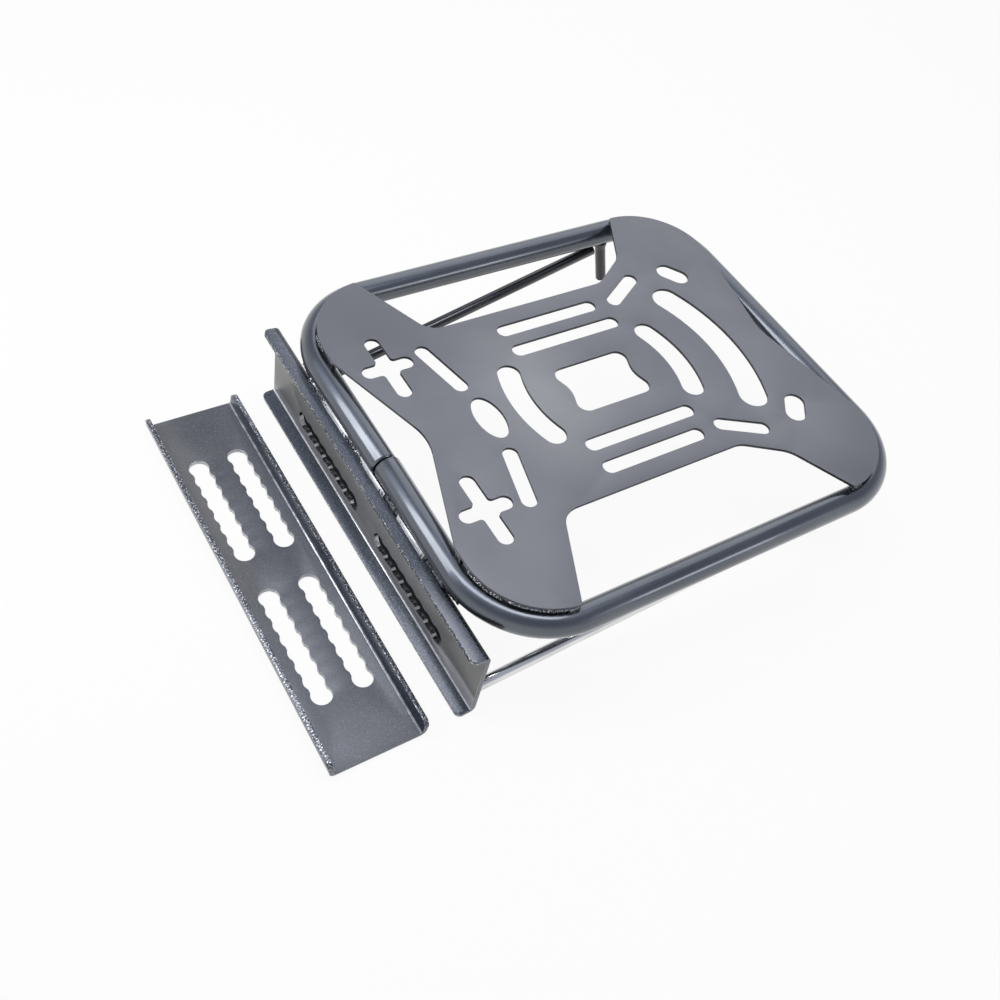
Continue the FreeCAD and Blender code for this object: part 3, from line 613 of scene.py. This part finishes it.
# A hair-thin run with painted glints carries on from the right one to the knee of its lobe
rimSeam = {"radius": 0.75 * mm, "z": -2.6 * mm, "step": 0.8 * mm, "ripple": 0.3, "seed": 41,
           "rimRadius": 50.5 * mm, "from": 216, "to": 264}
centre = (rimWeld["centre"][0], -rimWeld["centre"][1], rimSeam["z"])
path = arcPath(centre, rimSeam["rimRadius"], rimSeam["from"], rimSeam["to"], rimSeam["step"])
weldBead("rimSeam", path, rimSeam["radius"], rimSeam["ripple"], rimSeam["seed"], lipGlint)


# Rings of weld round the feet of the struts
footWeld = {"x": -163.4 * mm, "y": 127.0 * mm, "z": -77.1 * mm, "axis": (0.98, 0.044, 0.196),
            "ring": 4.3 * mm, "spots": 22, "radius": 1.3 * mm, "ripple": 0.12, "seed": 31}


def ringPath(centre, axis, radius, count):
    turn = Vector(axis).to_track_quat("Z", "Y")
    spots = [Vector(centre) + turn @ (Vector((math.cos(a), math.sin(a), 0)) * radius)
             for a in (2 * math.pi * k / count for k in range(count))]
    return spots + [spots[0]]


for word, side in (("Left", 1), ("Right", -1)):
    foot = (footWeld["x"], side * footWeld["y"], footWeld["z"])
    along, across, rising = footWeld["axis"]
    path = ringPath(foot, (along, side * across, rising), footWeld["ring"], footWeld["spots"])
    weldBead(f"footWeld{word}", path, footWeld["radius"], footWeld["ripple"],
             footWeld["seed"] + side)
print("welds done")


# floor, world and lamps; the floor carries a painted shadow in the narrow place right behind the
# bracket's foot
stageValues = {"floorSize": 12.0, "below": 0.05 * mm, "floorTone": (0.93, 0.93, 0.93),
               "rough": 0.9, "sheen": 0.1, "selfLit": 0.93,
               "paintedShadowTone": (0.05, 0.05, 0.055), "under": (-0.158, 0.015, 0),
               "underWide": (0.006, 0.013), "underLong": (0.103, 0.115)}


def makeFloor(values):
    shell = bmesh.new()
    bmesh.ops.create_grid(shell, x_segments=1, y_segments=1, size=values["floorSize"] / 2)
    bmesh.ops.translate(shell, verts=shell.verts, vec=(0, 0, cadBox[0].z - values["below"]))
    mesh = bpy.data.meshes.new("studioFloor")
    shell.to_mesh(mesh)
    shell.free()
    floor = bpy.data.objects.new("studioFloor", mesh)
    bpy.context.scene.collection.objects.link(floor)
    material, tree, shader = newMaterial("floorPaper")
    coords = tree.nodes.new("ShaderNodeTexCoord").outputs["Object"]
    # Painted shadow: right behind the bracket's foot the floor takes the dark shadow tone and
    # loses its self-lit share
    wide = spotOn(tree, coords, values["under"], (1, 0, 0), *values["underWide"])
    long = spotOn(tree, coords, values["under"], (0, 1, 0), *values["underLong"])
    under = product(tree, wide, long)
    tree.links.new(blendColours(tree, under, values["floorTone"], values["paintedShadowTone"]),
                   shader.inputs["Base Color"])
    shader.inputs["Roughness"].default_value = values["rough"]
    shader.inputs["Specular IOR Level"].default_value = values["sheen"]
    glow = tree.nodes.new("ShaderNodeEmission")
    rays = tree.nodes.new("ShaderNodeLightPath")
    seen = tree.nodes.new("ShaderNodeMath")
    seen.operation = "MAXIMUM"
    tree.links.new(rays.outputs["Is Camera Ray"], seen.inputs[0])
    tree.links.new(rays.outputs["Is Glossy Ray"], seen.inputs[1])
    shown = product(tree, seen.outputs[0], values["selfLit"])
    kept = product(tree, shown, spread(tree, under, 0, 1, 1, 0))
    mixed = tree.nodes.new("ShaderNodeMixShader")
    tree.links.new(kept, mixed.inputs[0])
    tree.links.new(shader.outputs[0], mixed.inputs[1])
    tree.links.new(glow.outputs[0], mixed.inputs[2])
    tree.links.new(mixed.outputs[0], tree.nodes["Material Output"].inputs["Surface"])
    mesh.materials.append(material)


makeFloor(stageValues)

# White to the eye, a soft fill for the surfaces, and a sky that darkens upwards in reflections
worldValues = {"fill": 0.17, "horizon": (1.0, 1.0, 1.0), "overhead": (0.42, 0.45, 0.52),
               "riseFrom": 0.1, "riseTo": 0.6}


def makeWorld(values):
    world = bpy.data.worlds.new("studioWorld")
    bpy.context.scene.world = world
    world.use_nodes = True
    tree = world.node_tree
    output = tree.nodes["World Output"]
    fill = tree.nodes["Background"]
    fill.inputs["Color"].default_value = (1, 1, 1, 1)
    fill.inputs["Strength"].default_value = values["fill"]
    coords = tree.nodes.new("ShaderNodeTexCoord").outputs["Generated"]
    height = tree.nodes.new("ShaderNodeSeparateXYZ")
    tree.links.new(coords, height.inputs[0])
    rise = spread(tree, height.outputs["Z"], values["riseFrom"], values["riseTo"], 0, 1)
    sky = tree.nodes.new("ShaderNodeBackground")
    skyTone = blendColours(tree, rise, values["horizon"], values["overhead"])
    tree.links.new(skyTone, sky.inputs["Color"])
    white = tree.nodes.new("ShaderNodeBackground")
    rays = tree.nodes.new("ShaderNodeLightPath")
    gloss = tree.nodes.new("ShaderNodeMixShader")
    tree.links.new(rays.outputs["Is Glossy Ray"], gloss.inputs[0])
    tree.links.new(fill.outputs[0], gloss.inputs[1])
    tree.links.new(sky.outputs[0], gloss.inputs[2])
    clear = tree.nodes.new("ShaderNodeMath")
    clear.operation = "MAXIMUM"
    tree.links.new(rays.outputs["Is Camera Ray"], clear.inputs[0])
    tree.links.new(rays.outputs["Is Transmission Ray"], clear.inputs[1])
    seen = tree.nodes.new("ShaderNodeMixShader")
    tree.links.new(clear.outputs[0], seen.inputs[0])
    tree.links.new(gloss.outputs[0], seen.inputs[1])
    tree.links.new(white.outputs[0], seen.inputs[2])
    tree.links.new(seen.outputs[0], output.inputs["Surface"])


makeWorld(worldValues)

# Each lamp stands in the given direction from the rack and faces it, its long side along "lie"
lampValues = {
    "frontBox": {"way": (-0.64, 0.41, 0.61), "away": 1.0, "long": 0.25, "wide": 0.7, "power": 3.4,
                 "lie": (0, 1, 0)},
    "topBox": {"way": (-0.12, 0.08, 0.98), "away": 1.0, "long": 0.9, "wide": 0.34, "power": 4.7,
               "lie": (0.8, -0.6, 0)},
    "backBox": {"way": (0.5, 0.6, 0.72), "away": 1.2, "long": 1.1, "wide": 0.9, "power": 3.0,
                "lie": (1, -1, 0)},
    "sideBox": {"way": (0.48, -0.75, 0.42), "away": 1.1, "long": 0.25, "wide": 0.2, "power": 0.6,
                "lie": (1, 0, 0)},
}


def makeLamp(name, values):
    data = bpy.data.lights.new(name, "AREA")
    data.shape = "RECTANGLE"
    data.size, data.size_y = values["long"], values["wide"]
    data.energy = values["power"]
    lamp = bpy.data.objects.new(name, data)
    back = Vector(values["way"]).normalized()
    up = back.cross(Vector(values["lie"])).normalized()
    side = up.cross(back)
    lamp.matrix_world = (Matrix.Translation(back * values["away"])
                         @ Matrix((side, up, back)).transposed().to_4x4())
    bpy.context.scene.collection.objects.link(lamp)


for name, values in lampValues.items():
    makeLamp(name, values)
print("stage done")
